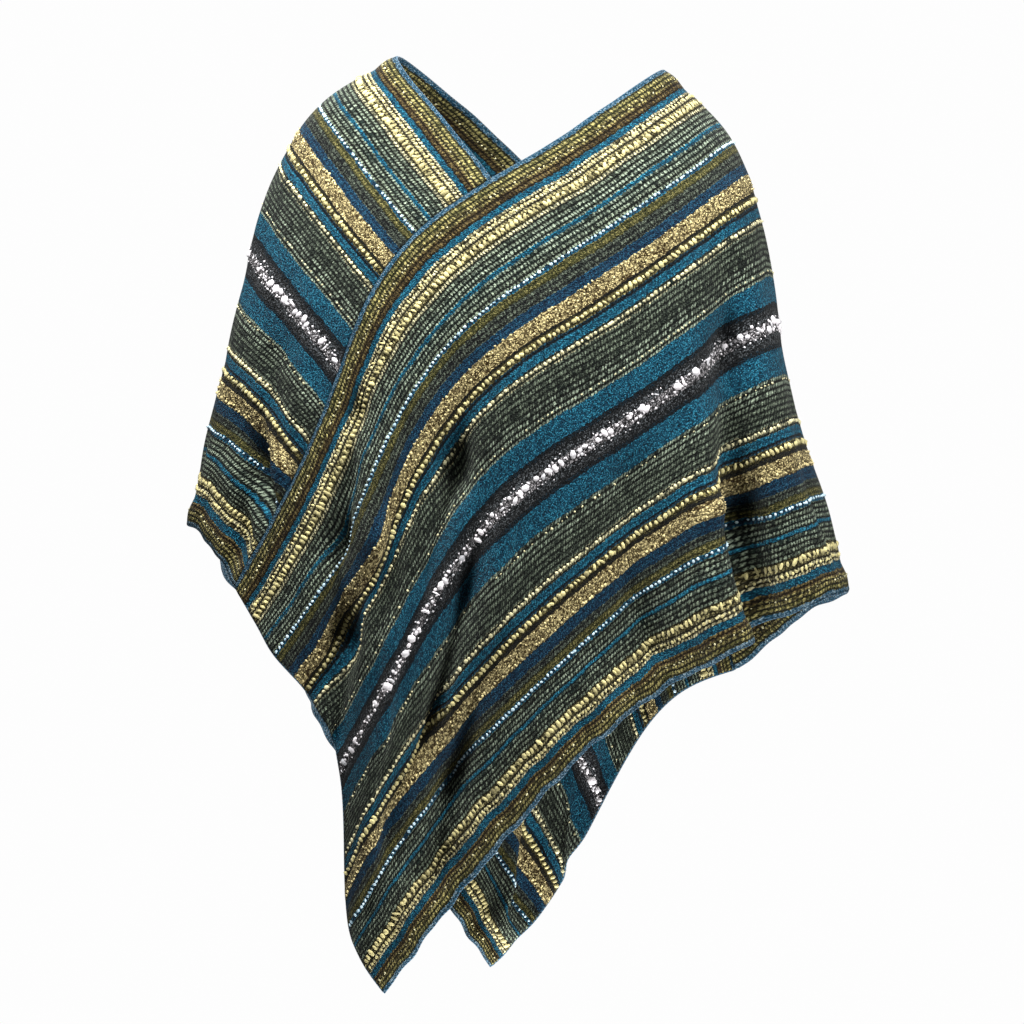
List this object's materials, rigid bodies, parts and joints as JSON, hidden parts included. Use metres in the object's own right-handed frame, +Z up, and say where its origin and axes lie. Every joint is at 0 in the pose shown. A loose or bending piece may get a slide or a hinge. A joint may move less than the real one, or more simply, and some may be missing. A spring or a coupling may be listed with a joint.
{
  "type": "poncho",
  "caption": "Striped woven wool poncho of two straight panels, worn and hanging, with a V neck opening and a point at the front and the back.",
  "frame": {"origin": "middle of the shoulder line that the poncho hangs from, between the two shoulder points of the neck opening", "axes": "+Z up, the front of the poncho faces -Y, +X towards the wearer's left arm"},
  "size_m": [0.6297, 0.2846, 0.889],
  "materials": {
    "wool_left": "matte",
    "wool_right": "matte"
  },
  "bodies": {
    "root": {"panel_left_shoulder": "wool_left", "panel_right_shoulder": "wool_right"}
  },
  "joints": []
}
